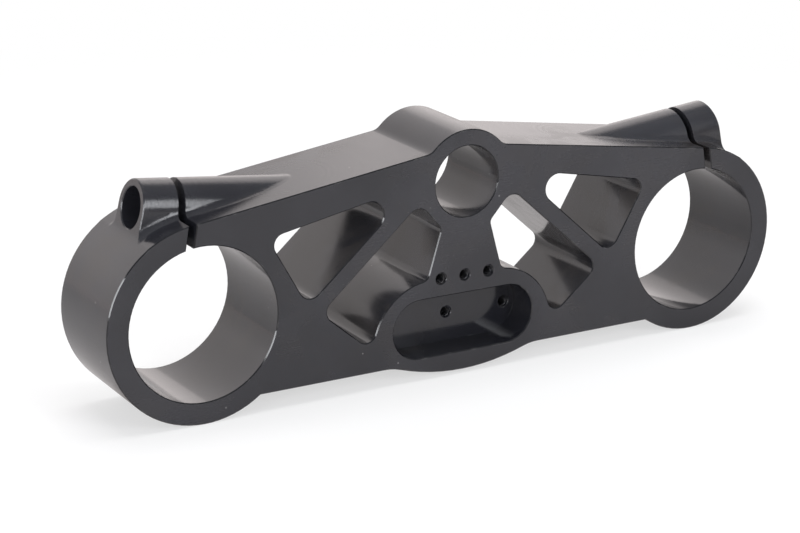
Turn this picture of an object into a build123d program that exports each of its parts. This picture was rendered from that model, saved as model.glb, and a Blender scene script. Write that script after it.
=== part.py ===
from build123d import *

import os
from math import acos, cos, degrees, radians, sin, tan

# Motorcycle triple clamp, milled from one billet. Millimetres and degrees.
# It stands on its long edge: X runs along the clamp, Z is up, and the bores run along Y.
# The front face, with the pocket, looks along -Y. The origin is on the axis of the stem bore,
# half-way through the thickness. The two ends mirror each other across X = 0, so each
# end feature is worked out once, for the +X end.

# Billet and the three bores
thickness = 38.0
fork_spacing = 201.4
fork_drop = 35.7
fork_bore_r = 27.0
ring_wall = 7.85
stem_bore_r = 12.7
stem_wall = 5.8

# Seat for the stem's collar in the back end of the stem bore
seat_step = 3.1
seat_depth = 7.6

# Top edge: two slopes that touch the rings and run up to the stem boss
slope_angle = 8.0
stem_blend_r = 5.0

# Bottom edge: two straight runs between the rings, and a belly under the pocket
bottom_drop = 28.2
belly_drop = 33.3
belly_r = 82.0
belly_blend_r = 20.0

# Pinch bosses, the half-round bars that carry the bolts across the slots
pinch_rise = 8.7
pinch_tilt = 6.1
boss_r = 9.5
boss_foot_r = 3.0
toe_angle = 60.5

# Outer end of each boss, a leaning face that stands back from the side of the ring
end_lean = 13.15
end_step = 9.65
end_blend_r = 5.7

# Pinch slots
slot_width = 2.6
slot_lean = 9.5
slot_offset = 9.2

# Pinch bolt holes: counterbore for the head, clearance up to the slot, thread beyond it
head_hole_r = 7.0
head_depth = 8.5
clearance_r = 4.25
pinch_thread_r = 3.4
pinch_thread_depth = 20.0

# Strut between the upper and the lower window of each side
strut_lean = 41.3
strut_offset = 11.4
strut_width = 6.2

# Upper windows
top_bar = 13.7
top_bar_taper = 2.9
ring_web_wall = 6.5
ring_web_lean = 60.0
upper_inner_r = 5.2
upper_outer_r = 4.0
upper_bottom_r = 4.5

# Lower windows
stem_web_wall = 5.2
stem_web_lean = 48.9
post_half = 15.3
post_lean = 73.8
foot_place = 1.5
foot_lean = 40.0
lower_top_r = 4.5
lower_stem_r = 2.5
lower_post_r = 3.0
lower_foot_r = 3.8
lower_outer_r = 4.0

# Pocket in the front face, with three tapped holes in its floor
pocket_drop = 15.53
pocket_half_span = 17.96
pocket_r = 10.75
pocket_depth = 12.2
pocket_wall = 5.4
surround_shift = 6.7
surround_lean = 53.0
floor_hole_spacing = 24.3

# Row of three tapped holes above the pocket
row_height = 1.86
row_spacing = 9.75

# Tapped holes of both rows
tapped_r = 2.1
tapped_depth = 12.0
drill_point = 118.0

# Small bevels left by the finishing pass
edge_break = 0.35
hole_break = 0.25

# Places that follow from the sizes above
fork_x = fork_spacing / 2
fork_z = -fork_drop
ring_r = fork_bore_r + ring_wall
pinch_height = fork_bore_r + pinch_rise
end_reach = ring_r - end_step
stem_boss_r = stem_bore_r + stem_wall
margin = ring_r / 2
block_x = fork_x + ring_r + margin
block_top = stem_boss_r + margin
block_bottom = fork_z - ring_r - margin
end_normal = Vector(cos(radians(end_lean)), 0, sin(radians(end_lean)))


def from_fork(radius, angle):
    """Point of the side view at a radius and an angle from the fork-bore axis."""
    return Vector(fork_x + radius * cos(radians(angle)), fork_z + radius * sin(radians(angle)))


def crossing(point_a, angle_a, point_b, angle_b):
    """Point of the side view where two lines meet, each given by a point and an angle."""
    step = point_b - point_a
    turn = sin(radians(angle_b - angle_a))
    along = (step.X * sin(radians(angle_b)) - step.Y * cos(radians(angle_b))) / turn
    return point_a + along * Vector(cos(radians(angle_a)), sin(radians(angle_a)))


def offset_point(centre, angle, distance):
    """Point of the side view at a distance from a centre, square to a line at an angle."""
    return centre + distance * Vector(-sin(radians(angle)), cos(radians(angle)))


def rounded(sketch, corner, radius):
    """Round the one corner of a sketch that lies nearest to a point."""
    return fillet(sketch.vertices().sort_by_distance(corner)[0], radius)


def both_ends(shape):
    """A shape of the +X end together with its mirror image."""
    return shape + mirror(shape, about=Plane.YZ)


def through(sketch, length=2 * thickness):
    """Side-view sketch drawn out along Y, to both sides of the middle."""
    return extrude(Plane.XZ * sketch, amount=length / 2, both=True)


def land_profile():
    """Side view of the block under its top edge: slopes, ring tops and the run-out at each toe."""
    touch = from_fork(ring_r, 90 - slope_angle)
    toe = from_fork(ring_r, toe_angle)
    middle = from_fork(ring_r, (90 - slope_angle + toe_angle) / 2)
    ridge = crossing(touch, -slope_angle, Vector(0, 0), 90)
    run_out = crossing(toe, toe_angle - 90, Vector(block_x, 0), 90)
    top = Line(ridge, touch) + ThreePointArc(touch, middle, toe) + Line(toe, run_out)
    rest = Polyline(run_out, (block_x, block_bottom), (0, block_bottom), ridge)
    slopes = both_ends(make_face(top + rest))
    profile = slopes + Circle(stem_boss_r)
    for side in (-1, 1):
        meet = Vector(side * stem_boss_r, ridge.Y - stem_boss_r * tan(radians(slope_angle)))
        profile = rounded(profile, meet, stem_blend_r)
    return profile


def boss_plane():
    """Plane square to the pinch bolt, where its axis passes nearest to the fork-bore axis."""
    foot = offset_point(Vector(fork_x, fork_z), pinch_tilt, pinch_height)
    along = (cos(radians(pinch_tilt)), 0, sin(radians(pinch_tilt)))
    return Plane(origin=(foot.X, 0, foot.Y), x_dir=(0, 1, 0), z_dir=along)


def boss_bar():
    """Pinch boss before its end is cut: upright flanks and a half-round top along the bolt axis."""
    flanks = Pos(0, -ring_r) * Rectangle(2 * boss_r, 2 * ring_r)
    section = boss_plane() * (Circle(boss_r) + flanks)
    return extrude(section, amount=2 * ring_r) + extrude(section, amount=-fork_x)


def block_with_bosses():
    """Block under the top edge with both boss bars blended into it."""
    block = through(land_profile(), thickness)
    bars = both_ends(boss_bar()) & Box(2 * block_x, thickness, 2 * (block_top - block_bottom))
    joined = block + bars
    return fillet(new_edges(block, bars, combined=joined), boss_foot_r)


def outer_profile():
    """Side view of what stays: rings, bottom edge, belly and the leaning ends of the bosses."""
    level = fork_z - bottom_drop
    end_foot = from_fork(end_reach, end_lean)
    end_top = crossing(end_foot, end_lean + 90, Vector(0, block_top), 0)
    centre = Vector(fork_x, fork_z)
    half = Polyline((0, block_top), end_top, end_foot, centre, (fork_x, level), (0, level), close=True)
    ring = Pos(fork_x, fork_z) * Circle(ring_r)
    belly = Pos(0, fork_z - belly_drop + belly_r) * Circle(belly_r)
    strip = Pos(0, level) * Rectangle(fork_spacing, 2 * (belly_drop - bottom_drop))
    profile = both_ends(make_face(half) + ring) + (belly & strip)

    rise = belly_drop - bottom_drop
    belly_x = (rise * (2 * belly_r - rise)) ** 0.5
    end_meet = from_fork(ring_r, end_lean + degrees(acos(end_reach / ring_r)))
    for side in (-1, 1):
        profile = rounded(profile, Vector(side * belly_x, level), belly_blend_r)
        profile = rounded(profile, Vector(side * end_meet.X, end_meet.Y), end_blend_r)
    return profile


def strut_side(side):
    """Point on a long side of the strut: side 1 faces the upper window, side -1 the lower one."""
    return offset_point(Vector(0, 0), -strut_lean, strut_offset + side * strut_width / 2)


def upper_window():
    """Window between the top bar, the ring and the strut."""
    touch = from_fork(ring_r, 90 - slope_angle)
    bar = offset_point(touch, -slope_angle, -top_bar)
    bar_angle = -slope_angle - top_bar_taper
    ring_side = offset_point(Vector(fork_x, fork_z), ring_web_lean, fork_bore_r + ring_web_wall)
    strut = strut_side(1)
    outer = crossing(bar, bar_angle, ring_side, ring_web_lean)
    bottom = crossing(ring_side, ring_web_lean, strut, -strut_lean)
    inner = crossing(strut, -strut_lean, bar, bar_angle)
    window = make_face(Polyline(outer, bottom, inner, close=True))
    window = rounded(window, outer, upper_outer_r)
    window = rounded(window, bottom, upper_bottom_r)
    return rounded(window, inner, upper_inner_r)


def lower_window():
    """Window between the strut, the stem boss, the centre post and the wall round the pocket."""
    shift = surround_shift * Vector(cos(radians(surround_lean)), sin(radians(surround_lean)))
    centre = Vector(pocket_half_span, fork_z - pocket_drop) - shift
    surround_r = pocket_r + pocket_wall + surround_shift
    foot = centre + surround_r * Vector(cos(radians(foot_place)), sin(radians(foot_place)))

    strut = strut_side(-1)
    stem_side = offset_point(Vector(0, 0), stem_web_lean, -(stem_bore_r + stem_web_wall))
    post = Vector(post_half, fork_z + row_height)
    outer = crossing(strut, -strut_lean, foot, foot_lean)
    top = crossing(strut, -strut_lean, stem_side, stem_web_lean)
    stem = crossing(stem_side, stem_web_lean, post, -post_lean)
    below = crossing(post, -post_lean, foot, foot_lean)
    inner = crossing(post, -post_lean, centre + Vector(0, surround_r), 0)
    window = make_face(Polyline(outer, top, stem, below, close=True))
    window -= Pos(centre.X, centre.Y) * Circle(surround_r)

    corners = {outer: lower_outer_r, top: lower_top_r, stem: lower_stem_r}
    corners.update({inner: lower_post_r, foot: lower_foot_r})
    for corner, radius in corners.items():
        window = rounded(window, corner, radius)
    return window


def pinch_slot():
    """Slot that opens the ring through the boss, with a bevel along it in both faces."""
    angle = 90 + slot_lean
    foot = offset_point(Vector(fork_x, fork_z), angle, -slot_offset)
    along = (cos(radians(angle)), 0, sin(radians(angle)))
    plane = Plane(origin=(foot.X, 0, foot.Y), x_dir=(0, 1, 0), z_dir=along)
    section = Rectangle(2 * thickness, slot_width)
    for side in (-1, 1):
        section += Pos(side * thickness / 2, 0) * RegularPolygon(slot_width / 2 + edge_break, 4)
    return extrude(plane * section, amount=ring_r + 2 * boss_r)


def pinch_holes():
    """Counterbore with its bevelled mouth, clearance hole and tapped hole of one pinch bolt."""
    plane = boss_plane()
    lean = radians(end_lean - pinch_tilt)
    end = (end_reach - pinch_height * sin(lean)) / cos(lean)
    slot_turn = radians(slot_lean - pinch_tilt)
    slot = (slot_offset - pinch_height * sin(slot_turn)) / cos(slot_turn)
    head = extrude(plane.offset(end - head_depth) * Circle(head_hole_r), amount=2 * head_depth)
    face = Plane(origin=plane.offset(end).origin, z_dir=end_normal)
    bevel = face * Cone(head_hole_r - edge_break, head_hole_r + 3 * edge_break, 4 * edge_break)
    clearance = extrude(plane.offset(slot) * Circle(clearance_r), amount=end - slot)
    thread = extrude(plane.offset(slot) * Circle(pinch_thread_r), amount=-pinch_thread_depth)
    return head + bevel + clearance + thread


def stem_bore():
    """Bore for the steering stem, with the wider seat at its back end."""
    back = Plane.XZ.offset(-thickness / 2)
    return through(Circle(stem_bore_r)) + extrude(back * Circle(stem_bore_r + seat_step), amount=seat_depth)


def pocket():
    """Blind pocket with round ends in the front face."""
    mouth = SlotCenterToCenter(2 * pocket_half_span, 2 * pocket_r)
    front = Plane.XZ.offset(thickness / 2)
    return extrude(front * Pos(0, fork_z - pocket_drop) * mouth, amount=-pocket_depth)


def tapped_hole(x, z, depth_below):
    """Blind tapped hole with a drill point, its mouth that far behind the front face."""
    mouth_y = -thickness / 2 + depth_below
    point = tapped_r / tan(radians(drill_point / 2))
    bore = Pos(0, 0, -tapped_depth / 2) * Cylinder(tapped_r, tapped_depth)
    tip = Pos(0, 0, -tapped_depth - point / 2) * Cone(0, tapped_r, point)
    sink = Pos(0, 0, -hole_break / 2) * Cone(tapped_r, tapped_r + hole_break, hole_break)
    return Pos(x, mouth_y, z) * Rot(90, 0, 0) * (bore + tip + sink)


def tapped_holes():
    """The row above the pocket and the row in its floor."""
    holes = []
    for step in (-1, 0, 1):
        holes.append(tapped_hole(step * row_spacing, fork_z + row_height, 0))
        holes.append(tapped_hole(step * floor_hole_spacing, fork_z - pocket_drop, pocket_depth))
    return holes


def bevelled_rims(clamp):
    """The clamp with a small bevel round the end of each boss."""
    for side in (-1, 1):
        normal = Vector(side * end_normal.X, 0, end_normal.Z)
        end = clamp.faces().filter_by(GeomType.PLANE).sort_by(lambda f: f.normal_at().dot(normal))[-1]
        rim_top = end.edges().sort_by(Axis.Z)[-1]
        clamp = chamfer(rim_top, edge_break)
    return clamp


def bevelled_faces(clamp):
    """The clamp with a small bevel along every edge of its front face and its back face."""
    for direction in (Axis.Y, -Axis.Y):
        face = clamp.faces().sort_by(direction)[-1]
        clamp = chamfer(face.edges(), edge_break)
    return clamp


def triple_clamp():
    """The whole clamp."""
    clamp = bevelled_rims(block_with_bosses() & through(outer_profile()))
    clamp -= stem_bore()
    clamp -= both_ends(through(Pos(fork_x, fork_z) * Circle(fork_bore_r)))
    clamp -= both_ends(through(upper_window()) + through(lower_window()))
    clamp = bevelled_faces(clamp - pocket())
    clamp -= both_ends(pinch_slot() + pinch_holes())
    return clamp - tapped_holes()


os.makedirs("parts", exist_ok=True)
export_step(triple_clamp(), "parts/triple_clamp.step")
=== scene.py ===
import logging
import math
from abc import ABC, abstractmethod
from dataclasses import dataclass, field
from enum import Enum
from typing import ClassVar

import bpy
from mathutils import Matrix, Vector


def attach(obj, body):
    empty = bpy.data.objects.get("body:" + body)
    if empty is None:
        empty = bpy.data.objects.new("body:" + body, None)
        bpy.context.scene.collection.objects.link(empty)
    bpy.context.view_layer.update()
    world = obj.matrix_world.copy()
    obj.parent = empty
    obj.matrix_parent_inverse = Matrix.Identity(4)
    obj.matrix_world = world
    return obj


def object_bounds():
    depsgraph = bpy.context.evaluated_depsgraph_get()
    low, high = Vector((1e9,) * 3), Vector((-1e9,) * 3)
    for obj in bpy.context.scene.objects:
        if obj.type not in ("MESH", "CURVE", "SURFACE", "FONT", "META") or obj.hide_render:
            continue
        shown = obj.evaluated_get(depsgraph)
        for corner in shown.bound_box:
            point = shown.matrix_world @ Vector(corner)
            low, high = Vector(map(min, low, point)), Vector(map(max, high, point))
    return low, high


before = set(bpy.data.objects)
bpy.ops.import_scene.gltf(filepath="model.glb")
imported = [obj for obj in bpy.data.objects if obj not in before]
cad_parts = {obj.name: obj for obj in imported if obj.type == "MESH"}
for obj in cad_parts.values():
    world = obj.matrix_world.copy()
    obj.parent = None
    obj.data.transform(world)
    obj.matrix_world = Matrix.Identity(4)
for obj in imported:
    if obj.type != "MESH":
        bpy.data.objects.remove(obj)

LOG = logging.getLogger("triple_clamp")
CAD_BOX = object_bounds()

Socket = bpy.types.NodeSocket
Sockets = bpy.types.bpy_prop_collection
Tree = bpy.types.NodeTree
Node = bpy.types.Node
Value = Socket | float
Band = tuple[float, float]
Triple = tuple[float, float, float]
Colour = tuple[float, float, float, float]

MM = 0.001
MM_IN_A_METRE = 1000.0
QUARTER_TURN = 90.0
WHITE: Colour = (1.0, 1.0, 1.0, 1.0)
WARM: Triple = (1.0, 0.91, 0.89)
COOL: Triple = (0.95, 0.965, 1.0)

# Value of a pattern where it changes nothing
NEUTRAL = 0.5

# How far a direction points to the back of the studio: where "behind" starts and where it is full
BEHIND: Band = (0.2, 0.9)


class Tool(Enum):
    """The cutter that left a surface. The value is how closely its marks lie along X, Y and Z."""

    BORING_HEAD = (25.0, 3600.0, 25.0)
    END_MILL = (900.0, 30.0, 900.0)
    BALL_CUTTER = (2000.0, 520.0, 520.0)
    FACE_MILL = (160.0, 60.0, 1100.0)


class Mixed(Enum):
    """What a Mix node mixes: its data type, and how its sockets' identifiers end."""

    NUMBERS = ("FLOAT", "Float")
    COLOURS = ("RGBA", "Color")


@dataclass(frozen=True)
class Places:
    """Places and sizes of the clamp that its patterns and threads follow.

    Lengths are in millimetres and tilts in degrees. What has an X is on the right half, and the
    left half mirrors it.
    """

    thickness: float = 38.0
    fork_x: float = 100.7
    fork_z: float = -35.7
    fork_r: float = 27.0
    stem_r: float = 12.7
    seat_step: float = 3.1
    slope: float = 8.0
    slope_height: float = 13.51
    tip_x: float = 62.0
    pocket_y: float = -6.8
    floor_z: float = -51.23
    floor_spacing: float = 24.3
    row_z: float = -33.84
    row_spacing: float = 9.75
    bolt_x: float = 102.4
    bolt_z: float = 0.385
    bolt_tilt: float = 6.1


@dataclass(frozen=True)
class Grain:
    """Settings of a noise pattern."""

    closeness: float = 5.0
    detail: float = 2.0
    roughness: float = 0.5
    distortion: float = 0.0


class Wiring:
    """Short ways to add and join nodes in one tree."""

    def __init__(self, tree: Tree) -> None:
        """Keeps the shader or geometry tree that the nodes go into."""
        self.tree = tree

    def node(self, kind: str, **settings: object) -> Node:
        """Adds a node and sets its own properties.

        Args:
            kind: The node's type name.
            settings: Property names and values.

        Returns:
            The new node.
        """
        made = self.tree.nodes.new(kind)
        for name, value in settings.items():
            setattr(made, name, value)
        return made

    def join(self, source: Socket, target: Socket) -> None:
        """Links an output to an input."""
        self.tree.links.new(source, target)

    def feed(self, value: Value | tuple, target: Socket) -> None:
        """Links a socket to an input, or writes a plain value on it.

        Args:
            value: The socket or the plain value.
            target: The input.
        """
        if isinstance(value, bpy.types.NodeSocket):
            self.join(value, target)
        else:
            target.default_value = value

    def place(self) -> Socket:
        """The object coordinates of the point that is shaded, in metres."""
        return self.node("ShaderNodeTexCoord").outputs["Object"]

    def maths(self, operation: str, *values: Value, clamp: bool = False) -> Socket:
        """Adds a Math node.

        Args:
            operation: The node's operation.
            values: One to three sockets or numbers.
            clamp: Whether the result is kept between 0 and 1.

        Returns:
            The node's output.
        """
        made = self.node("ShaderNodeMath", operation=operation, use_clamp=clamp)
        for value, target in zip(values, made.inputs):
            self.feed(value, target)
        return made.outputs[0]

    def plus(self, first: Value, second: Value) -> Socket:
        """The sum of two values."""
        return self.maths("ADD", first, second)

    def minus(self, first: Value, second: Value) -> Socket:
        """The first value less the second."""
        return self.maths("SUBTRACT", first, second)

    def times(self, first: Value, second: Value) -> Socket:
        """The product of two values."""
        return self.maths("MULTIPLY", first, second)

    def larger(self, first: Value, second: Value) -> Socket:
        """The larger of two values."""
        return self.maths("MAXIMUM", first, second)

    def size(self, value: Value) -> Socket:
        """A value without its sign."""
        return self.maths("ABSOLUTE", value)

    def above(self, value: Value, limit: Value) -> Socket:
        """1 where a value is above a limit, and 0 elsewhere."""
        return self.maths("GREATER_THAN", value, limit)

    def below(self, value: Value, limit: Value) -> Socket:
        """1 where a value is below a limit, and 0 elsewhere."""
        return self.maths("LESS_THAN", value, limit)

    def diagonal(self, first: Value, second: Value) -> Socket:
        """The length of a diagonal over two lengths at a right angle."""
        squares = self.plus(self.times(first, first), self.times(second, second))
        return self.maths("SQRT", squares)

    def vector(self, operation: str, *values: Socket | tuple) -> Node:
        """Adds a Vector Math node.

        Args:
            operation: The node's operation.
            values: Sockets or plain vectors.

        Returns:
            The node.
        """
        made = self.node("ShaderNodeVectorMath", operation=operation)
        for value, target in zip(values, made.inputs):
            self.feed(value, target)
        return made

    def parts(self, source: Socket) -> tuple[Socket, ...]:
        """The X, Y and Z of a vector.

        Args:
            source: The vector.

        Returns:
            Its three parts.
        """
        made = self.node("ShaderNodeSeparateXYZ")
        self.join(source, made.inputs[0])
        return tuple(made.outputs)

    def remap(self, source: Socket, band: Band, to: tuple[Value, Value] = (0.0, 1.0)) -> Socket:
        """A smooth step from one range to another.

        Args:
            source: The value to remap.
            band: Start and end of its range.
            to: Results at the start and at the end.

        Returns:
            The remapped value.
        """
        made = self.node("ShaderNodeMapRange", interpolation_type="SMOOTHSTEP")
        for value, target in zip((source, *band, *to), made.inputs):
            self.feed(value, target)
        return made.outputs[0]

    def noise(
        self, where: Socket, grain: Grain, closeness: Socket | None = None, on_line: bool = False
    ) -> Socket:
        """A noise pattern between 0 and 1.

        Args:
            where: The place to read it at, or the distance along a line.
            grain: The pattern's settings.
            closeness: A socket that gives the closeness in place of the settings.
            on_line: Whether the pattern changes along a line only.

        Returns:
            The pattern.
        """
        made = self.node("ShaderNodeTexNoise", noise_dimensions="1D" if on_line else "3D")
        self.join(where, made.inputs["W" if on_line else "Vector"])
        self.feed(grain.closeness if closeness is None else closeness, made.inputs["Scale"])
        made.inputs["Detail"].default_value = grain.detail
        made.inputs["Roughness"].default_value = grain.roughness
        made.inputs["Distortion"].default_value = grain.distortion
        return made.outputs["Fac"]

    def mix(self, what: Mixed, share: Value, first: Value | tuple, second: Value | tuple) -> Socket:
        """A number or colour between two others.

        Args:
            what: Whether numbers or colours are mixed.
            share: How much of the second there is.
            first: The result at a share of 0.
            second: The result at a share of 1.

        Returns:
            The mixed number or colour.
        """
        data_type, ending = what.value
        made = self.node("ShaderNodeMix", data_type=data_type)
        inputs = {each.identifier: each for each in made.inputs}
        outputs = {each.identifier: each for each in made.outputs}
        self.feed(share, inputs["Factor_Float"])
        self.feed(first, inputs["A_" + ending])
        self.feed(second, inputs["B_" + ending])
        return outputs["Result_" + ending]

    def blend(self, share: Value, first: Socket | Colour, second: Socket | Colour) -> Socket:
        """A colour between two colours."""
        return self.mix(Mixed.COLOURS, share, first, second)

    def layered(self, base: Value, *layers: tuple[Socket, Value]) -> Value:
        """A base value that each layer's value replaces where its mask is 1.

        Args:
            base: The value under all layers.
            layers: Pairs of a mask and a value.

        Returns:
            The layered value.
        """
        found = base
        for mask, value in layers:
            found = self.mix(Mixed.NUMBERS, mask, found, value)
        return found


class Effect(ABC):
    """A shader node group that finishes share, built once, when it is first placed."""

    label: ClassVar[str]
    inputs: ClassVar[dict[str, float]]
    output: ClassVar[str]

    @abstractmethod
    def fill(self, wiring: Wiring, given: Sockets, place: Socket) -> Socket:
        """Adds the effect's own nodes.

        Args:
            wiring: The group's wiring.
            given: What the group is given, by name.
            place: Object coordinates in metres.

        Returns:
            What the group puts out.
        """

    def group(self) -> Tree:
        """Finds the node group, or builds it.

        Returns:
            The group.
        """
        found = bpy.data.node_groups.get(self.label)
        if found is not None:
            return found
        tree = bpy.data.node_groups.new(self.label, "ShaderNodeTree")
        for name, default in self.inputs.items():
            made = tree.interface.new_socket(name, in_out="INPUT", socket_type="NodeSocketFloat")
            made.default_value = default
        tree.interface.new_socket(self.output, in_out="OUTPUT", socket_type="NodeSocketFloat")
        wiring = Wiring(tree)
        given = wiring.node("NodeGroupInput").outputs
        result = wiring.node("NodeGroupOutput")
        wiring.join(self.fill(wiring, given, wiring.place()), result.inputs[self.output])
        return tree

    def add_to(self, wiring: Wiring, *values: float) -> Socket:
        """Places the group in a material.

        Args:
            wiring: The material's wiring.
            values: The material's own values for the inputs, in order. The rest keep theirs.

        Returns:
            What the group puts out.
        """
        made = wiring.node("ShaderNodeGroup", node_tree=self.group())
        for value, target in zip(values, made.inputs):
            target.default_value = value
        return made.outputs[self.output]


@dataclass(frozen=True)
class CutterMarks(Effect):
    """Fine parallel marks that a cutter leaves, stretched along the way it moved.

    The inputs say how closely the marks lie along each axis, and how far patches lose them.
    """

    label = "cutter_marks"
    inputs = {"Along X": 30.0, "Along Y": 30.0, "Along Z": 30.0, "Break up": 0.5}
    output = "Marks"

    fine: Grain = Grain(1.0, 3.0, 0.6)
    fine_share: float = 0.65
    coarse: Grain = Grain(0.23, 1.0)
    coarse_share: float = 0.35
    patches: Grain = Grain(45.0)
    patch_band: Band = (0.35, 0.65)

    def fill(self, wiring: Wiring, given: Sockets, place: Socket) -> Socket:
        """Adds the nodes of the marks.

        Args:
            wiring: The group's wiring.
            given: What the group is given, by name.
            place: Object coordinates in metres.

        Returns:
            The marks, neutral where there are none.
        """
        closeness = wiring.node("ShaderNodeCombineXYZ")
        for source, target in zip(given, closeness.inputs):
            wiring.join(source, target)
        stretched = wiring.vector("MULTIPLY", place, closeness.outputs[0]).outputs[0]
        fine = wiring.times(wiring.noise(stretched, self.fine), self.fine_share)
        coarse = wiring.times(wiring.noise(stretched, self.coarse), self.coarse_share)
        patches = wiring.remap(wiring.noise(place, self.patches), self.patch_band)
        kept = wiring.minus(1.0, wiring.times(patches, given["Break up"]))
        centred = wiring.minus(wiring.plus(fine, coarse), NEUTRAL)
        return wiring.plus(wiring.times(centred, kept), NEUTRAL)


@dataclass(frozen=True)
class EdgeWear(Effect):
    """A mask of the sharp edges, broken up as handling breaks it up.

    The inputs are the worn edge's width in metres and how closely its patches lie.
    """

    label = "edge_wear"
    inputs = {"Width": 0.0004, "Patches": 220.0}
    output = "Mask"

    samples: int = 4
    likeness_band: Band = (0.995, 0.93)
    patches: Grain = Grain(detail=3.0)
    patch_band: Band = (0.52, 0.7)

    def fill(self, wiring: Wiring, given: Sockets, place: Socket) -> Socket:
        """Adds the nodes of the worn edges.

        Args:
            wiring: The group's wiring.
            given: What the group is given, by name.
            place: Object coordinates in metres.

        Returns:
            The mask.
        """
        rounded = wiring.node("ShaderNodeBevel", samples=self.samples)
        wiring.join(given["Width"], rounded.inputs["Radius"])
        flat = wiring.node("ShaderNodeNewGeometry").outputs["Normal"]
        likeness = wiring.vector("DOT_PRODUCT", rounded.outputs[0], flat).outputs["Value"]
        edge = wiring.remap(likeness, self.likeness_band)
        patches = wiring.noise(place, self.patches, given["Patches"])
        return wiring.times(edge, wiring.remap(patches, self.patch_band))


@dataclass(frozen=True)
class Specks(Effect):
    """Tiny pale specks of dust and nicks, few and scattered.

    The inputs are how closely their places lie, and their size as a part of the space between.
    """

    label = "specks"
    inputs = {"Closeness": 150.0, "Size": 0.045}
    output = "Mask"

    empty_share: float = 0.72

    def fill(self, wiring: Wiring, given: Sockets, place: Socket) -> Socket:
        """Adds the nodes of the specks.

        Args:
            wiring: The group's wiring.
            given: What the group is given, by name.
            place: Object coordinates in metres.

        Returns:
            The mask.
        """
        cells = wiring.node("ShaderNodeTexVoronoi")
        wiring.join(place, cells.inputs["Vector"])
        wiring.join(given["Closeness"], cells.inputs["Scale"])
        near = wiring.below(cells.outputs["Distance"], given["Size"])
        draw = wiring.node("ShaderNodeSeparateColor")
        wiring.join(cells.outputs["Color"], draw.inputs[0])
        return wiring.times(near, wiring.above(draw.outputs["Red"], self.empty_share))


@dataclass(frozen=True)
class Stains(Effect):
    """Cloudy stains where coolant and oil dried on the part.

    The input is how closely the clouds lie.
    """

    label = "stains"
    inputs = {"Closeness": 60.0}
    output = "Mask"

    clouds: Grain = Grain(detail=5.0, roughness=0.62, distortion=0.8)
    cloud_band: Band = (0.42, 0.66)
    patches: Grain = Grain(15.0, 1.0)
    patch_band: Band = (0.36, 0.58)

    def fill(self, wiring: Wiring, given: Sockets, place: Socket) -> Socket:
        """Adds the nodes of the stains.

        Args:
            wiring: The group's wiring.
            given: What the group is given, by name.
            place: Object coordinates in metres.

        Returns:
            The mask.
        """
        clouds = wiring.noise(place, self.clouds, given["Closeness"])
        patches = wiring.remap(wiring.noise(place, self.patches), self.patch_band)
        return wiring.times(wiring.remap(clouds, self.cloud_band), patches)


@dataclass(frozen=True)
class ToneDrift(Effect):
    """Slow, soft changes of tone over a surface. The input is how closely its patches lie."""

    label = "tone_drift"
    inputs = {"Closeness": 18.0}
    output = "Drift"

    patches: Grain = Grain(detail=4.0)

    def fill(self, wiring: Wiring, given: Sockets, place: Socket) -> Socket:
        """Adds the pattern and returns it."""
        return wiring.noise(place, self.patches, given["Closeness"])


@dataclass(frozen=True)
class Regions:
    """Masks of the clamp's surfaces, each 1 on its own surface and 0 elsewhere.

    The last one is no mask: it is the distance from the nearer boss's tip, in millimetres.
    """

    face: Socket
    pocket_floor: Socket
    bored: Socket
    boss: Socket
    land: Socket
    edge_break: Socket
    from_tip: Socket


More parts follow.
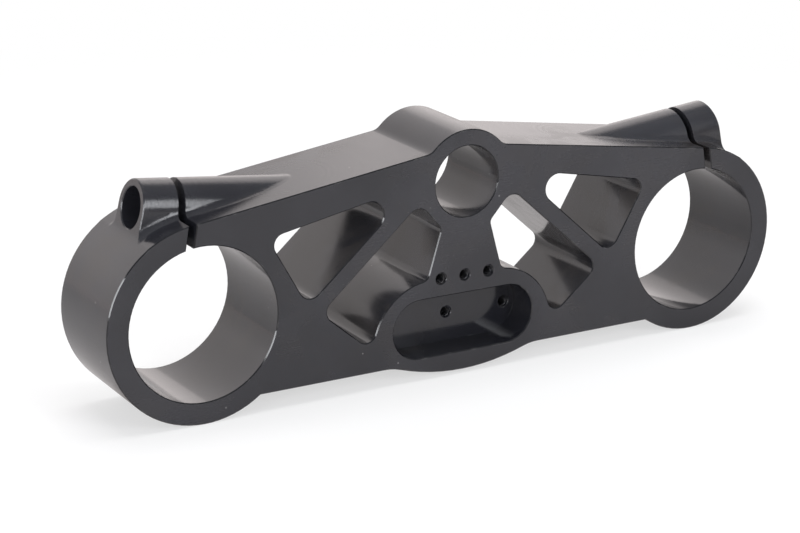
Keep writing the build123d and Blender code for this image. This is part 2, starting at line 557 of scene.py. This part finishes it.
@dataclass(frozen=True)
class SurfaceFinder:
    """Tells the clamp's surfaces apart by where a point is and which way it faces.

    Margins are in millimetres. The limits on facing are parts of a normal of length 1.
    """

    facing_front: float = 0.9
    facing_aside: float = 0.4
    facing_up: Band = (0.8, 0.95)
    bore_margin: float = 0.2
    floor_margin: float = 0.3
    face_margin: float = 0.4
    edge_margin: float = 0.7
    boss_margin: Band = (0.15, 0.5)
    land_margin: float = 1.0
    places: Places = field(default_factory=Places)

    def _in_bore(
        self, wiring: Wiring, across: Socket, up: Socket, axis: tuple[float, float], radius: float
    ) -> Socket:
        """Where a point is inside one bore or on its wall.

        Args:
            wiring: The material's wiring.
            across: The X coordinate in millimetres.
            up: The Z coordinate in millimetres.
            axis: X and Z of the bore's axis.
            radius: The bore's radius.

        Returns:
            1 there and 0 elsewhere.
        """
        side = wiring.minus(across, axis[0])
        rise = wiring.minus(up, axis[1])
        return wiring.below(wiring.diagonal(side, rise), radius + self.bore_margin)

    def find(self, wiring: Wiring, place: Socket, normal: Socket) -> Regions:
        """Makes the masks.

        Args:
            wiring: The material's wiring.
            place: Object coordinates in millimetres.
            normal: The surface's normal.

        Returns:
            The masks.
        """
        spot = self.places
        x, y, z = wiring.parts(place)
        _, forward, upward = wiring.parts(normal)
        side = wiring.size(x)
        depth = wiring.size(y)
        flat = wiring.size(forward)
        flat_on = wiring.above(flat, self.facing_front)
        side_on = wiring.below(flat, self.facing_aside)

        off_floor = wiring.size(wiring.minus(y, spot.pocket_y))
        floor = wiring.times(wiring.below(off_floor, self.floor_margin), flat_on)
        outmost = wiring.above(depth, spot.thickness / 2 - self.face_margin)
        face = wiring.times(wiring.larger(outmost, floor), flat_on)

        leaning = wiring.times(
            wiring.below(flat, self.facing_front), wiring.above(flat, self.facing_aside)
        )
        at_rim = wiring.above(depth, spot.thickness / 2 - self.edge_margin)
        edge_break = wiring.times(at_rim, leaning)

        fork = self._in_bore(wiring, side, z, (spot.fork_x, spot.fork_z), spot.fork_r)
        stem = self._in_bore(wiring, x, z, (0.0, 0.0), spot.stem_r + spot.seat_step)
        bored = wiring.times(wiring.larger(fork, stem), side_on)

        slope = math.radians(spot.slope)
        height = wiring.plus(
            wiring.times(z, math.cos(slope)), wiring.times(side, math.sin(slope))
        )
        lowest, highest = (spot.slope_height + margin for margin in self.boss_margin)
        raised = wiring.remap(height, (lowest, highest))
        boss = wiring.times(raised, wiring.above(side, spot.tip_x))
        on_top = wiring.above(height, spot.slope_height - self.land_margin)
        land = wiring.times(wiring.remap(upward, self.facing_up), on_top)
        from_tip = wiring.diagonal(wiring.minus(side, spot.tip_x), y)
        return Regions(face, floor, bored, boss, land, edge_break, from_tip)


@dataclass(frozen=True)
class Traces:
    """What the cutters and use left on the surface.

    The marks lie round 0. The drift and the masks lie between 0 and 1.
    """

    marks: Socket
    drift: Socket
    wear: Socket
    specks: Socket
    stains: Socket


@dataclass(frozen=True)
class AnodisedBillet:
    """Dark satin anodising over milled aluminium, with the marks each cutter left."""

    slot: str = "anodised_billet"
    refraction: float = 1.57
    surfaces: SurfaceFinder = field(default_factory=SurfaceFinder)

    # Colours, and how much of a colour shows where its mask is full
    dye: Colour = (0.0120, 0.0123, 0.0160, 1.0)
    faded: Colour = (0.0235, 0.0238, 0.0290, 1.0)
    fading_band: Band = (0.35, 0.65)
    # Painted shade: the front chamfers are darker than the dye, to deepen the dark line they show
    edge_break_painted_shade: Colour = (0.0050, 0.0052, 0.0070, 1.0)
    dried_oil: Colour = (0.036, 0.030, 0.026, 1.0)
    oil_cover: float = 0.55
    bare: Colour = (0.20, 0.195, 0.19, 1.0)
    bare_cover: float = 0.35
    dust: Colour = (0.26, 0.25, 0.25, 1.0)
    dust_cover: float = 0.5

    # Roughness of each surface, and what is added to it
    wall_roughness: float = 0.15
    land_roughness: float = 0.24
    boss_roughness: float = 0.21
    bore_roughness: float = 0.11
    face_roughness: float = 0.25
    floor_roughness: float = 0.13
    edge_roughness: float = 0.09
    drift_in_roughness: float = 0.12
    marks_in_roughness: float = 0.2
    stains_in_roughness: float = 0.09
    wear_in_roughness: float = 0.08

    # Height of the cutter's marks on each surface, against the fine skin of the anodising
    wall_relief: float = 0.8
    land_relief: float = 1.1
    boss_relief: float = 5.0
    bore_relief: float = 0.25
    face_relief: float = 0.2
    skin: Grain = Grain(2600.0)
    skin_relief: float = 0.05
    bump_strength: float = 0.5
    bump_distance: float = 0.00004

    # How far patches of each surface lose their marks
    wall_break_up: float = 0.8
    boss_break_up: float = 0.4
    bore_break_up: float = 0.6
    face_break_up: float = 0.9

    # Share of the stains that each surface holds
    wall_stains: float = 1.0
    land_stains: float = 0.8
    boss_stains: float = 0.3
    face_stains: float = 0.3

    # Arcs round the tips of the bosses, and their share of the marks on the sloped top edges
    arc_grain: Grain = Grain(0.9, 3.0)
    arc_fading: Band = (6.0, 34.0)
    arc_strength: Band = (1.0, 0.25)
    arc_share: float = 0.6
    straight_share: float = 0.4

    def _arcs(self, wiring: Wiring, from_tip: Socket) -> Socket:
        """Arcs that the ball cutter left round the tip of each boss.

        Args:
            wiring: The material's wiring.
            from_tip: Distance from the tip in millimetres.

        Returns:
            The arcs, neutral where there are none.
        """
        fading = wiring.remap(from_tip, self.arc_fading, self.arc_strength)
        centred = wiring.minus(wiring.noise(from_tip, self.arc_grain, on_line=True), NEUTRAL)
        return wiring.plus(wiring.times(centred, fading), NEUTRAL)

    def _marks(self, wiring: Wiring, area: Regions) -> Socket:
        """Each surface's own cutter marks.

        Args:
            wiring: The material's wiring.
            area: The masks of the surfaces.

        Returns:
            The marks, 0 where there are none.
        """
        marks = CutterMarks()
        milled = marks.add_to(wiring, *Tool.END_MILL.value, self.wall_break_up)
        faced = marks.add_to(wiring, *Tool.FACE_MILL.value, self.face_break_up)
        rounded = marks.add_to(wiring, *Tool.BALL_CUTTER.value, self.boss_break_up)
        bored = marks.add_to(wiring, *Tool.BORING_HEAD.value, self.bore_break_up)
        straight = wiring.times(faced, self.straight_share)
        arcs = wiring.times(self._arcs(wiring, area.from_tip), self.arc_share)
        found = wiring.layered(
            milled,
            (area.land, wiring.plus(straight, arcs)),
            (area.boss, rounded),
            (area.bored, bored),
            (area.face, faced),
        )
        return wiring.minus(found, NEUTRAL)

    def _traces(self, wiring: Wiring, area: Regions) -> Traces:
        """Marks, drift, wear, specks and stains.

        Args:
            wiring: The material's wiring.
            area: The masks of the surfaces.

        Returns:
            The traces.
        """
        held = wiring.layered(
            self.wall_stains,
            (area.land, self.land_stains),
            (area.boss, self.boss_stains),
            (area.face, self.face_stains),
        )
        return Traces(
            marks=self._marks(wiring, area),
            drift=ToneDrift().add_to(wiring),
            wear=EdgeWear().add_to(wiring),
            specks=Specks().add_to(wiring),
            stains=wiring.times(Stains().add_to(wiring), held),
        )

    def _colour(self, wiring: Wiring, area: Regions, left: Traces) -> Socket:
        """The dye, faded, stained, darkened on the front chamfers by painted shade, worn and dusty.

        Args:
            wiring: The material's wiring.
            area: The masks of the surfaces.
            left: The traces on them.

        Returns:
            The colour.
        """
        fading = wiring.remap(left.drift, self.fading_band)
        colour = wiring.blend(fading, self.dye, self.faded)
        colour = wiring.blend(wiring.times(left.stains, self.oil_cover), colour, self.dried_oil)
        # Painted shade: darkens the front chamfers to deepen their dark line
        colour = wiring.blend(area.edge_break, colour, self.edge_break_painted_shade)
        colour = wiring.blend(wiring.times(left.wear, self.bare_cover), colour, self.bare)
        return wiring.blend(wiring.times(left.specks, self.dust_cover), colour, self.dust)

    def _roughness(self, wiring: Wiring, area: Regions, left: Traces) -> Socket:
        """Each surface's roughness, made uneven by its traces.

        Args:
            wiring: The material's wiring.
            area: The masks of the surfaces.
            left: The traces on them.

        Returns:
            The roughness.
        """
        rough = wiring.layered(
            self.wall_roughness,
            (area.land, self.land_roughness),
            (area.boss, self.boss_roughness),
            (area.bored, self.bore_roughness),
            (area.face, self.face_roughness),
            (area.pocket_floor, self.floor_roughness),
            (area.edge_break, self.edge_roughness),
        )
        drift = wiring.minus(left.drift, NEUTRAL)
        rough = wiring.plus(rough, wiring.times(drift, self.drift_in_roughness))
        rough = wiring.plus(rough, wiring.times(left.marks, self.marks_in_roughness))
        rough = wiring.plus(rough, wiring.times(left.stains, self.stains_in_roughness))
        worn = wiring.times(left.wear, self.wear_in_roughness)
        return wiring.maths("ADD", rough, worn, clamp=True)

    def _normal(self, wiring: Wiring, area: Regions, left: Traces) -> Socket:
        """The normal, with the cutters' marks and the skin of the anodising in relief.

        Args:
            wiring: The material's wiring.
            area: The masks of the surfaces.
            left: The traces on them.

        Returns:
            The normal.
        """
        strength = wiring.layered(
            self.wall_relief,
            (area.land, self.land_relief),
            (area.boss, self.boss_relief),
            (area.bored, self.bore_relief),
            (area.face, self.face_relief),
        )
        skin = wiring.times(wiring.noise(wiring.place(), self.skin), self.skin_relief)
        bump = wiring.node("ShaderNodeBump")
        bump.inputs["Strength"].default_value = self.bump_strength
        bump.inputs["Distance"].default_value = self.bump_distance
        relief = wiring.plus(wiring.times(left.marks, strength), skin)
        wiring.join(relief, bump.inputs["Height"])
        return bump.outputs["Normal"]

    def build(self) -> bpy.types.Material:
        """Makes the material.

        Returns:
            The material.
        """
        material = bpy.data.materials.new(self.slot)
        material.use_nodes = True
        wiring = Wiring(material.node_tree)
        shader = material.node_tree.nodes["Principled BSDF"]
        shader.inputs["IOR"].default_value = self.refraction
        shader.inputs["Metallic"].default_value = 0.0
        to_mm = (MM_IN_A_METRE, MM_IN_A_METRE, MM_IN_A_METRE)
        place = wiring.vector("MULTIPLY", wiring.place(), to_mm).outputs[0]
        normal = wiring.node("ShaderNodeTexCoord").outputs["Normal"]
        area = self.surfaces.find(wiring, place, normal)
        left = self._traces(wiring, area)
        wiring.join(self._colour(wiring, area, left), shader.inputs["Base Color"])
        wiring.join(self._roughness(wiring, area, left), shader.inputs["Roughness"])
        wiring.join(self._normal(wiring, area, left), shader.inputs["Normal"])
        return material


@dataclass
class ClampBody:
    """The billet itself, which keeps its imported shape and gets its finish."""

    finish: bpy.types.Material
    node: str = "triple_clamp"

    def dress(self) -> bpy.types.Object:
        """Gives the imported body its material.

        Returns:
            The body.
        """
        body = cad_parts[self.node]
        for slot in body.material_slots:
            slot.material = self.finish
        return body


@dataclass(frozen=True)
class ThreadSize:
    """Sizes of a cut thread, in millimetres, and its number of turns."""

    radius: float
    pitch: float
    turns: float
    height: float


M5 = ThreadSize(radius=2.1, pitch=0.8, turns=13.4, height=0.34)
M8 = ThreadSize(radius=3.4, pitch=1.25, turns=14.0, height=0.5)


@dataclass
class CutThread:
    """The ridges of the thread in tapped holes that point the same way.

    The starts are in millimetres and the turn in degrees. The ridge's depth is that of its
    middle under the wall, as a part of its height, and its widths are parts of the pitch.
    """

    name: str
    size: ThreadSize
    starts: tuple[Triple, ...]
    turn: Triple
    finish: bpy.types.Material
    steps: int = 20
    ridge_depth: float = 0.44
    root_width: float = 0.80
    crest_width: float = 0.16

    def _helix(self, wiring: Wiring, given: Sockets) -> Socket:
        """The line that the ridge follows.

        Args:
            wiring: The tree's wiring.
            given: The thread's sizes, by name.

        Returns:
            The line, with its normals upright.
        """
        helix = wiring.node("GeometryNodeCurveSpiral")
        depth = wiring.times(given["Ridge height"], self.ridge_depth)
        middle = wiring.minus(given["Radius"], depth)
        wiring.join(given["Steps"], helix.inputs["Resolution"])
        wiring.join(given["Turns"], helix.inputs["Rotations"])
        wiring.join(middle, helix.inputs["Start Radius"])
        wiring.join(middle, helix.inputs["End Radius"])
        wiring.join(wiring.times(given["Pitch"], given["Turns"]), helix.inputs["Height"])
        upright = wiring.node("GeometryNodeSetCurveNormal", mode="Z_UP")
        wiring.join(helix.outputs[0], upright.inputs["Curve"])
        return upright.outputs[0]

    def _profile(self, wiring: Wiring, given: Sockets) -> Socket:
        """The outline across the ridge.

        Args:
            wiring: The tree's wiring.
            given: The thread's sizes, by name.

        Returns:
            The outline.
        """
        ridge = wiring.node("GeometryNodeCurvePrimitiveQuadrilateral", mode="TRAPEZOID")
        wiring.join(given["Ridge height"], ridge.inputs["Height"])
        wiring.join(wiring.times(given["Pitch"], self.root_width), ridge.inputs["Bottom Width"])
        wiring.join(wiring.times(given["Pitch"], self.crest_width), ridge.inputs["Top Width"])
        ridge.inputs["Offset"].default_value = 0.0
        return ridge.outputs[0]

    def _tree(self) -> Tree:
        """Makes the tree that puts one helical ridge at each starting point.

        Returns:
            The tree, which other threads use again.
        """
        found = bpy.data.node_groups.get("cut_thread")
        if found is not None:
            return found
        tree = bpy.data.node_groups.new("cut_thread", "GeometryNodeTree")
        inputs = {
            "Starts": "NodeSocketGeometry",
            "Radius": "NodeSocketFloat",
            "Pitch": "NodeSocketFloat",
            "Turns": "NodeSocketFloat",
            "Ridge height": "NodeSocketFloat",
            "Steps": "NodeSocketInt",
            "Turn": "NodeSocketVector",
            "Finish": "NodeSocketMaterial",
        }
        for name, kind in inputs.items():
            tree.interface.new_socket(name, in_out="INPUT", socket_type=kind)
        tree.interface.new_socket("Thread", in_out="OUTPUT", socket_type="NodeSocketGeometry")
        wiring = Wiring(tree)
        given = wiring.node("NodeGroupInput").outputs
        result = wiring.node("NodeGroupOutput")

        swept = wiring.node("GeometryNodeCurveToMesh")
        wiring.join(self._helix(wiring, given), swept.inputs["Curve"])
        wiring.join(self._profile(wiring, given), swept.inputs["Profile Curve"])
        swept.inputs["Fill Caps"].default_value = True
        placed = wiring.node("GeometryNodeInstanceOnPoints")
        wiring.join(given["Starts"], placed.inputs["Points"])
        wiring.join(swept.outputs[0], placed.inputs["Instance"])
        wiring.join(given["Turn"], placed.inputs["Rotation"])
        real = wiring.node("GeometryNodeRealizeInstances")
        wiring.join(placed.outputs[0], real.inputs[0])
        finished = wiring.node("GeometryNodeSetMaterial")
        wiring.join(real.outputs[0], finished.inputs["Geometry"])
        wiring.join(given["Finish"], finished.inputs["Material"])
        wiring.join(finished.outputs[0], result.inputs["Thread"])
        return tree

    def build(self) -> bpy.types.Object:
        """Makes the ridges as one plain mesh.

        Returns:
            The piece, riding on the clamp.
        """
        tree = self._tree()
        points = bpy.data.meshes.new(self.name + "_starts")
        points.from_pydata([tuple(MM * value for value in start) for start in self.starts], [], [])
        maker = bpy.data.objects.new(self.name + "_maker", points)
        bpy.context.scene.collection.objects.link(maker)
        modifier = maker.modifiers.new("thread", "NODES")
        modifier.node_group = tree
        values = {
            "Radius": self.size.radius * MM,
            "Pitch": self.size.pitch * MM,
            "Turns": self.size.turns,
            "Ridge height": self.size.height * MM,
            "Steps": self.steps,
            "Turn": tuple(math.radians(value) for value in self.turn),
            "Finish": self.finish,
        }
        for socket in tree.interface.items_tree:
            if socket.in_out == "INPUT" and socket.name in values:
                modifier[socket.identifier] = values[socket.name]
        graph = bpy.context.evaluated_depsgraph_get()
        mesh = bpy.data.meshes.new_from_object(maker.evaluated_get(graph))
        bpy.data.objects.remove(maker)
        mesh.name = self.name
        piece = bpy.data.objects.new(self.name, mesh)
        bpy.context.scene.collection.objects.link(piece)
        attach(piece, "root")
        return piece


@dataclass
class TappedHoles:
    """The thread in every tapped hole of the clamp.

    The lead is how deep the threads of the screw holes start, in millimetres.
    """

    finish: bpy.types.Material
    places: Places = field(default_factory=Places)
    lead: float = 0.45

    def _row(self, name: str, face_y: float, height: float, spacing: float) -> CutThread:
        """The thread of three screw holes side by side, drilled from the front.

        Args:
            name: The piece's name.
            face_y: Y of the face that they are drilled in.
            height: Z of their axes.
            spacing: Distance from one to the next.

        Returns:
            The thread, not yet built.
        """
        starts = tuple((x, self.lead + face_y, height) for x in (-spacing, 0.0, spacing))
        turn = (-QUARTER_TURN, 0.0, 0.0)
        return CutThread(name, M5, starts, turn, self.finish)

    def _bolt(self, name: str, side: float) -> CutThread:
        """The thread of one pinch bolt.

        Args:
            name: The piece's name.
            side: -1 for the left bolt and 1 for the right one.

        Returns:
            The thread, not yet built.
        """
        start = (side * self.places.bolt_x, 0.0, self.places.bolt_z)
        turn = -side * (QUARTER_TURN + self.places.bolt_tilt)
        return CutThread(name, M8, (start,), (0.0, turn, 0.0), self.finish)

    def build(self) -> list[bpy.types.Object]:
        """Makes the threads of the screw holes and of the pinch bolts.

        Returns:
            The thread pieces.
        """
        spot = self.places
        front_y = -spot.thickness / 2
        threads = [
            self._row("front_row_thread", front_y, spot.row_z, spot.row_spacing),
            self._row("pocket_row_thread", spot.pocket_y, spot.floor_z, spot.floor_spacing),
            self._bolt("pinch_thread_left_ridge", -1.0),
            self._bolt("pinch_thread_right_ridge", 1.0),
        ]
        return [thread.build() for thread in threads]


@dataclass(frozen=True)
class PhotoCamera:
    """The camera of the photo, solved from the clamp's own edges.

    Its place is in metres. Its right, up and back are directions, and its lens is in millimetres.
    """

    location: Triple = (-0.400348, -0.643902, 0.209087)
    right: Triple = (0.86033, -0.50956, 0.01347)
    up: Triple = (0.14603, 0.27171, 0.95124)
    back: Triple = (-0.48837, -0.81641, 0.30817)
    lens: float = 100.553
    sensor: float = 36.0
    nearest: float = 0.05
    farthest: float = 50.0

    def build(self) -> None:
        """Adds the camera and makes it the scene's camera."""
        data = bpy.data.cameras.new("photo_camera")
        data.lens = self.lens
        data.sensor_width = self.sensor
        data.clip_start = self.nearest
        data.clip_end = self.farthest
        camera = bpy.data.objects.new("photo_camera", data)
        axes = Matrix((self.right, self.up, self.back)).transposed().to_4x4()
        camera.matrix_world = Matrix.Translation(self.location) @ axes
        bpy.context.scene.collection.objects.link(camera)
        bpy.context.scene.camera = camera


@dataclass(frozen=True)
class SoftBox:
    """One soft lamp of the studio, placed by direction and turned towards the clamp.

    Azimuth 0 is straight behind the clamp, and it grows towards the right. Angles are in
    degrees, lengths in metres and power in watts.
    """

    name: str
    azimuth: float
    elevation: float
    width: float
    height: float
    power: float
    tint: Triple = (1.0, 1.0, 1.0)
    mirrored: bool = True
    distance: float = 2.0

    def build(self) -> None:
        """Adds the lamp, hidden from the camera."""
        data = bpy.data.lights.new(self.name, "AREA")
        data.shape = "RECTANGLE"
        data.size = self.width
        data.size_y = self.height
        data.energy = self.power
        data.color = self.tint
        lamp = bpy.data.objects.new(self.name, data)
        round_z = math.radians(self.azimuth)
        rise = math.radians(self.elevation)
        flat = self.distance * math.cos(rise)
        up = self.distance * math.sin(rise)
        place = Vector((flat * math.sin(round_z), flat * math.cos(round_z), up))
        lamp.location = place
        lamp.rotation_euler = (-place).to_track_quat("-Z", "Y").to_euler()
        lamp.visible_camera = False
        lamp.visible_glossy = self.mirrored
        bpy.context.scene.collection.objects.link(lamp)


LAMPS = (
    SoftBox(
        name="window_lamp",
        azimuth=37.0,
        elevation=19.0,
        width=0.96,
        height=1.3,
        power=2.2,
        tint=WARM,
    ),
    SoftBox(
        name="high_back_lamp",
        azimuth=45.0,
        elevation=45.0,
        width=0.85,
        height=0.56,
        power=2.2,
        tint=WARM,
    ),
    SoftBox(
        name="front_lamp",
        azimuth=165.8,
        elevation=21.0,
        width=0.36,
        height=0.40,
        power=3.1,
        tint=COOL,
        distance=0.83,
    ),
    SoftBox(
        name="side_lamp",
        azimuth=-119.0,
        elevation=12.0,
        width=0.5,
        height=1.1,
        power=15.0,
        tint=COOL,
    ),
    SoftBox(
        name="overhead_lamp",
        azimuth=180.0,
        elevation=89.0,
        width=1.4,
        height=1.4,
        power=25.0,
        mirrored=False,
    ),
)


@dataclass(frozen=True)
class Paper:
    """Matt white paper that keeps a soft shadow.

    The camera and the clamp's reflections see it partly lit by itself, fully where it is far
    from the clamp. Reaches are in metres from the clamp.
    """

    tone: float = 0.92
    mirrored_tone: float = 0.58
    glow: float = 0.6
    mirrored_glow: float = 0.34
    mirrored_tint: Colour = (1.0, 0.915, 0.90, 1.0)
    mirrored_reach: Band = (0.2, 0.9)
    seen_reach: Band = (0.16, 0.55)
    front_tone: float = 0.35

    def build(self) -> bpy.types.Material:
        """Makes the material.

        Returns:
            The material.
        """
        material = bpy.data.materials.new("white_paper")
        material.use_nodes = True
        wiring = Wiring(material.node_tree)
        paper = material.node_tree.nodes["Principled BSDF"]
        paper.inputs["Roughness"].default_value = 1.0
        paper.inputs["Specular IOR Level"].default_value = 0.0
        light = wiring.node("ShaderNodeEmission")
        rays = wiring.node("ShaderNodeLightPath").outputs
        in_camera = rays["Is Camera Ray"]
        in_gloss = wiring.larger(rays["Is Glossy Ray"], rays["Is Transmission Ray"])
        place = wiring.place()
        from_middle = wiring.vector("LENGTH", place).outputs["Value"]
        far = wiring.remap(from_middle, self.mirrored_reach)

        plain = (self.tone, self.tone, self.tone, 1.0)
        darker = (self.mirrored_tone, self.mirrored_tone, self.mirrored_tone, 1.0)
        wiring.join(wiring.blend(in_gloss, plain, darker), paper.inputs["Base Color"])
        tint = wiring.blend(in_camera, self.mirrored_tint, WHITE)
        wiring.join(tint, light.inputs["Color"])

        # Far from the clamp the reflections see the same tones as in the room round the paper
        _, towards_back, _ = wiring.parts(wiring.vector("NORMALIZE", place).outputs[0])
        far_tone = wiring.remap(towards_back, BEHIND, (self.front_tone, 1.0))
        tone = wiring.plus(wiring.minus(1.0, far), wiring.times(far, far_tone))
        wiring.join(wiring.larger(tone, in_camera), light.inputs["Strength"])

        seen = wiring.larger(wiring.remap(from_middle, self.seen_reach), self.glow)
        seen = wiring.times(seen, in_camera)
        mirrored = wiring.times(in_gloss, wiring.larger(far, self.mirrored_glow))
        mixer = wiring.node("ShaderNodeMixShader")
        wiring.join(wiring.larger(seen, mirrored), mixer.inputs[0])
        wiring.join(paper.outputs[0], mixer.inputs[1])
        wiring.join(light.outputs[0], mixer.inputs[2])
        surface = material.node_tree.nodes["Material Output"].inputs["Surface"]
        wiring.join(mixer.outputs[0], surface)
        return material


@dataclass
class Studio:
    """Plain pale floor, white surroundings and soft lamps.

    The screen's edge is in degrees from straight behind the clamp, and the bands are parts of a
    direction of length 1.
    """

    floor_size: float = 8.0
    screen_edge: float = 50.0
    screen_fade: Band = (0.05, -0.05)
    screen_tones: Band = (1.0, 1.30)
    screen_rise: Band = (0.0, 0.32)
    screen_tint: Colour = (1.0, 0.94, 0.93, 1.0)
    room_tone: float = 0.35
    room_tint: Colour = (0.95, 0.965, 1.0, 1.0)
    ceiling_tone: float = 0.45
    ceiling_rise: Band = (0.6, 0.9)
    paper: Paper = field(default_factory=Paper)
    lamps: tuple[SoftBox, ...] = LAMPS

    def _floor(self, level: float) -> None:
        """Adds the floor under the clamp.

        Args:
            level: Height of the clamp's lowest point.
        """
        reach = self.floor_size
        corners = ((-reach, -reach), (reach, -reach), (reach, reach), (-reach, reach))
        mesh = bpy.data.meshes.new("floor")
        mesh.from_pydata([(x, y, level) for x, y in corners], [], [(0, 1, 2, 3)])
        mesh.materials.append(self.paper.build())
        floor = bpy.data.objects.new("floor", mesh)
        bpy.context.scene.collection.objects.link(floor)

    def _surroundings(self) -> None:
        """A white screen behind, a darker room elsewhere, and plain white for the camera."""
        world = bpy.data.worlds.new("studio")
        bpy.context.scene.world = world
        world.use_nodes = True
        wiring = Wiring(world.node_tree)
        backdrop = world.node_tree.nodes["Background"]
        in_camera = wiring.node("ShaderNodeLightPath").outputs["Is Camera Ray"]
        direction = wiring.node("ShaderNodeTexCoord").outputs["Generated"]
        _, towards_back, upward = wiring.parts(direction)

        edge = math.radians(self.screen_edge)
        outward = (math.cos(edge), -math.sin(edge), 0.0)
        past_edge = wiring.vector("DOT_PRODUCT", direction, outward).outputs["Value"]
        within = wiring.remap(past_edge, self.screen_fade)
        screen = wiring.times(within, wiring.remap(towards_back, BEHIND))
        screen_tone = wiring.remap(upward, self.screen_rise, self.screen_tones)
        walls = wiring.remap(screen, (0.0, 1.0), (self.room_tone, screen_tone))
        ceiling = wiring.remap(upward, self.ceiling_rise)
        tone = wiring.mix(Mixed.NUMBERS, ceiling, walls, self.ceiling_tone)
        wiring.join(wiring.larger(tone, in_camera), backdrop.inputs["Strength"])
        tint = wiring.blend(screen, self.room_tint, self.screen_tint)
        wiring.join(wiring.blend(in_camera, tint, WHITE), backdrop.inputs["Color"])

    def build(self, level: float) -> None:
        """Adds floor, surroundings and lamps.

        Args:
            level: Height of the clamp's lowest point.
        """
        bpy.context.scene.view_settings.view_transform = "Standard"
        self._floor(level)
        self._surroundings()
        for lamp in self.lamps:
            lamp.build()


def report(piece: bpy.types.Object) -> None:
    """Logs a piece's name, its number of faces and its finish.

    Args:
        piece: The finished piece.
    """
    faces = piece.data.polygons
    finish = piece.material_slots[faces[0].material_index].material
    LOG.info("%s: %d faces, finish %s", piece.name, len(faces), finish.name)


def main() -> None:
    """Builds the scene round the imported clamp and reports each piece."""
    logging.basicConfig(level=logging.INFO, format="%(name)s %(message)s")
    PhotoCamera().build()
    finish = AnodisedBillet().build()
    report(ClampBody(finish).dress())
    for thread in TappedHoles(finish).build():
        report(thread)
    floor_level = CAD_BOX[0].z
    Studio().build(floor_level)
    LOG.info("studio: %d lamps, floor at %.4f m", len(LAMPS), floor_level)


if __name__ == "__main__":
    main()
